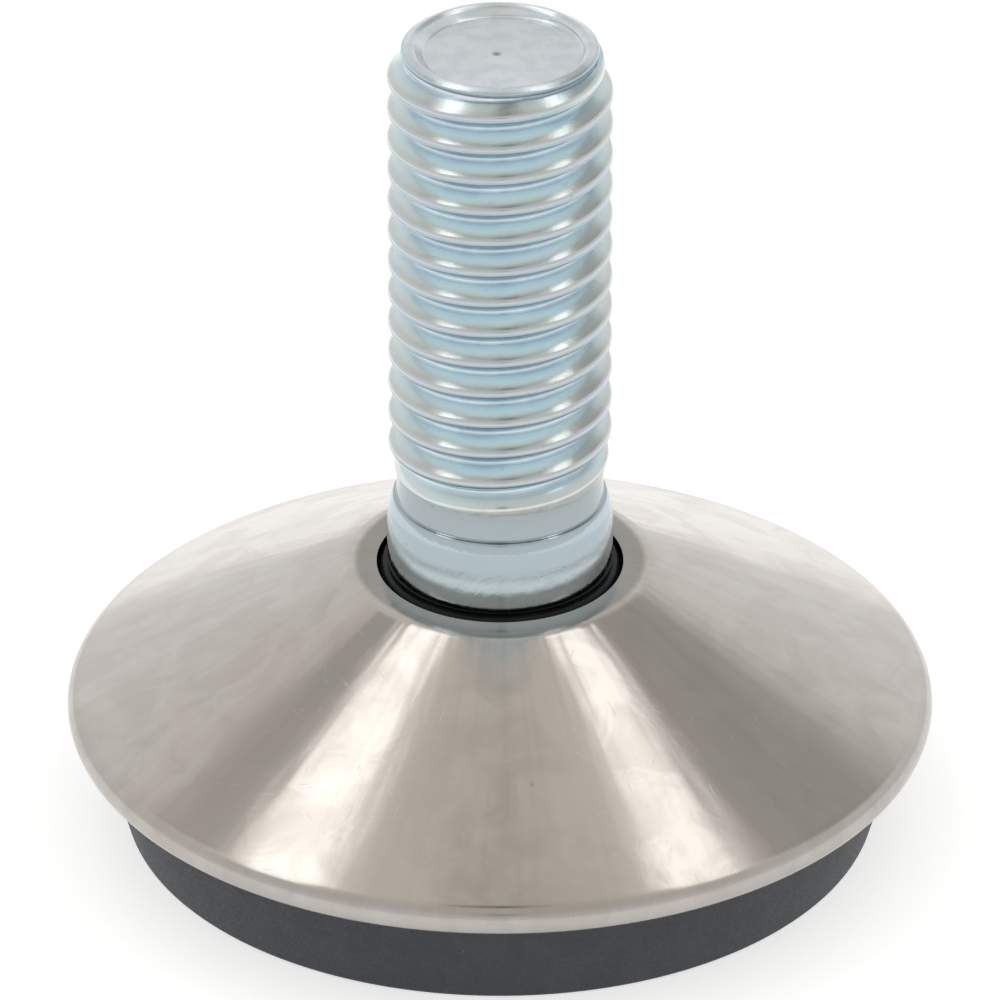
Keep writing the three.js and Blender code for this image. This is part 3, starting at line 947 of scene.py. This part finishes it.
# %% [markdown]
# ## Stud
#
# The thread is rolled, so its crests and roots are round and it fades into the blank at both ends. It
# could be cut from a cylinder with a boolean, but that leaves thin slivers on polished metal. Here one
# pitch of its section is swept along a helix by a spin that also climbs. The helix is trimmed level,
# and each vertex near an end is moved towards the blank. From the trimmed rings the outline walks on:
# up over the lip into the cupped end, and down over the collar to the pin.

# %% Thread sizes
PITCH = 1.5
CREST_R = 4.91
ROOT_R = 4.1
CREST_ROUND = 0.27
ROOT_ROUND = 0.22
FLANK_ANGLE = 60
THREAD_STEPS = 96
THREAD_TURNS = 16
THREAD_FROM = 14.0
THREAD_LOW = 17.3
THREAD_HIGH = 37.5
CREST_FADE = (36.85, 37.65)
SHANK_R = 4.55
SHANK_STEP = 0.09
NECK_R = 4.15
print(THREAD_TURNS, "turns of thread", PITCH, "mm apart")

# %% Swept thread
points = arc(ROOT_R + ROOT_ROUND, 0, ROOT_ROUND, 180, 180 - FLANK_ANGLE, 4)
points += arc(CREST_R - CREST_ROUND, PITCH / 2, CREST_ROUND, -FLANK_ANGLE, FLANK_ANGLE, 8)
points += arc(ROOT_R + ROOT_ROUND, PITCH, ROOT_ROUND, 180 + FLANK_ANGLE, 180, 4)
bm = bmesh.new()
verts = [bm.verts.new((r * MM, 0, (THREAD_FROM + z) * MM)) for r, z in points]
edges = [bm.edges.new(pair) for pair in zip(verts, verts[1:])]
bmesh.ops.spin(
    bm,
    geom=verts + edges,
    cent=(0, 0, 0),
    axis=(0, 0, 1),
    dvec=(0, 0, PITCH * MM / THREAD_STEPS),
    angle=math.tau * THREAD_TURNS,
    steps=THREAD_STEPS * THREAD_TURNS,
    use_merge=False,
)
bmesh.ops.remove_doubles(bm, verts=bm.verts[:], dist=2e-6)
for height_mm, upward in ((THREAD_LOW, -1), (THREAD_HIGH, 1)):
    bmesh.ops.bisect_plane(
        bm,
        geom=bm.verts[:] + bm.edges[:] + bm.faces[:],
        plane_co=(0, 0, height_mm * MM),
        plane_no=(0, 0, upward),
        clear_outer=True,
        dist=1e-7,
    )
print("thread", len(bm.faces), "faces")

# %% Thread ends
FADE_BELOW = 0.3
FADE_ABOVE = 1.3
ROOT_RISE = 0.4


def step(x, low, high):
    """Climbs smoothly from 0 at low to 1 at high."""
    t = min(max((x - low) / (high - low), 0), 1)
    return t * t * (3 - 2 * t)


def rolled(r, z, azimuth):
    """Fades the thread into the blank at both ends. The azimuth counts from 0 to 1 around the stud."""
    fade = step(z, THREAD_LOW - FADE_BELOW, THREAD_LOW + FADE_ABOVE)
    blank_r = SHANK_R + SHANK_STEP
    r = blank_r + (r - blank_r) * fade
    first_crest = THREAD_FROM + PITCH * (0.5 + azimuth)
    crest = first_crest + PITCH * round((z - first_crest) / PITCH)
    if r > NECK_R:
        r = NECK_R + (r - NECK_R) * (1 - step(crest, *CREST_FADE))
    lowest = NECK_R + (ROOT_R - NECK_R) * step(THREAD_HIGH - z, 0.0, ROOT_RISE)
    return max(r, lowest)


for v in bm.verts:
    r = math.hypot(v.co.x, v.co.y)
    azimuth = math.atan2(v.co.y, v.co.x) / math.tau % 1
    scale = rolled(r / MM, v.co.z / MM, azimuth) * MM / r
    v.co.x *= scale
    v.co.y *= scale
halfway = (THREAD_LOW + THREAD_HIGH) / 2 * MM
open_edges = [e for e in bm.edges if e.is_boundary]
top_ring = [e for e in open_edges if e.verts[0].co.z > halfway]
low_ring = [e for e in open_edges if e.verts[0].co.z < halfway]
print("open rings of", len(top_ring), "and", len(low_ring), "edges")

# %% Walking an outline
def walk(bm, edges, points):
    """Extrudes a ring of edges through (radius, height) points in mm."""
    for r, z in points:
        made = bmesh.ops.extrude_edge_only(bm, edges=edges)["geom"]
        verts = {g for g in made if isinstance(g, bmesh.types.BMVert)}
        edges = [g for g in made if isinstance(g, bmesh.types.BMEdge) and verts.issuperset(g.verts)]
        for v in verts:
            flat = Vector((v.co.x, v.co.y, 0)).normalized() * r * MM
            v.co = (flat.x, flat.y, z * MM)


# %% Lip and cup
LIP_TOP = 38.0
LIP_CREST_R = 3.9
LIP_R = 4.3
LIP_EDGE_Z = 37.84
LIP_FOOT_Z = 37.68
NECK_TOP = 37.58
CUP_BROW = (3.66, 37.88)
CUP_R = 3.45
CUP_FLOOR = 37.55
CUP_SHIFT = 0.12
PUNCH_R = 0.2
PUNCH_DEPTH = 0.05
CUP_VERTS_ABOVE = 37.1
CUP_VERTS_R = 3.6
PUNCH_VERTS_R = 0.3

walk(
    bm,
    top_ring,
    outline(
        [
            (NECK_R, THREAD_HIGH),
            (NECK_R, NECK_TOP, 0.03),
            (LIP_R, LIP_FOOT_Z, 0.05),
            (LIP_R, LIP_EDGE_Z, 0.07),
            (LIP_CREST_R, LIP_TOP, 0.05),
            (*CUP_BROW, 0.1),
            (CUP_R, CUP_FLOOR, 0.12),
            (PUNCH_R, CUP_FLOOR, 0.05),
            (0, CUP_FLOOR - PUNCH_DEPTH),
        ]
    )[1:],
)


def within(r):
    """The cup's vertices that are nearer to the axis than r, in mm."""
    above = [v for v in bm.verts if v.co.z > CUP_VERTS_ABOVE * MM]
    return {v for v in above if math.hypot(v.co.x, v.co.y) < r * MM}


cup = within(CUP_VERTS_R)
punched = within(PUNCH_VERTS_R)
bmesh.ops.translate(bm, verts=list(cup - punched), vec=(CUP_SHIFT * MM, 0, 0))
bmesh.ops.translate(bm, verts=list(punched), vec=(PUNCH_MARK[0] * MM, 0, 0))
print("cup of", len(cup), "vertices, off the axis by", CUP_SHIFT, "mm")

# %% Collar and pin
COLLAR_R = 4.97
COLLAR_BOTTOM = 12.45
COLLAR_TOP = 15.85
COLLAR_TOP_R = COLLAR_R - 0.28
COLLAR_BROW = (COLLAR_R - 0.08, COLLAR_TOP - 0.45)
COLLAR_SHOULDER_Z = COLLAR_TOP - 1.1
SHANK_TOP = THREAD_LOW - 0.06
PIN_R = 3.0
PIN_END = 2.3
CLIP_GROOVE_R = 2.6
CLIP_GROOVE_HIGH = 3.9
CLIP_GROOVE_LOW = 3.0

walk(
    bm,
    low_ring,
    outline(
        [
            (SHANK_R + SHANK_STEP, THREAD_LOW),
            (SHANK_R, SHANK_TOP, 0.02),
            (SHANK_R, COLLAR_TOP, 0.12),
            (COLLAR_TOP_R, COLLAR_TOP, 0.12),
            (*COLLAR_BROW, 0.3),
            (COLLAR_R, COLLAR_SHOULDER_Z, 0.3),
            (COLLAR_R, COLLAR_BOTTOM, 0.07),
            (PIN_R, COLLAR_BOTTOM),
            (PIN_R, CLIP_GROOVE_HIGH),
            (CLIP_GROOVE_R, CLIP_GROOVE_HIGH),
            (CLIP_GROOVE_R, CLIP_GROOVE_LOW),
            (PIN_R, CLIP_GROOVE_LOW),
            (PIN_R, PIN_END, 0.3),
            (0, PIN_END),
        ],
    )[1:],
)
bmesh.ops.remove_doubles(bm, verts=bm.verts[:], dist=1e-6)
finish_piece(bm, "stud", "stud", "threaded_stud", zinc)

# %% [markdown]
# ## Inner parts
#
# The base, the snap ring over the ball and the circlip sit inside the cover and the pad. They could be
# modelled again, but their shapes are already right and hardly seen, so they only take their finishes.

# %% Inner parts
for name, material in (("base_body", nylon), ("socket_retainer", nylon), ("circlip", spring)):
    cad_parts[name].material_slots[0].material = material
    print(name, "takes", material.name)

# %% [markdown]
# ## Sizes
#
# The dressed foot's box is printed, as each CAD part's box is printed at the start.

# %% Print the foot's box
visual_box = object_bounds()
for corner in visual_box:
    print("foot's box reaches", [round(c / MM, 2) for c in corner])
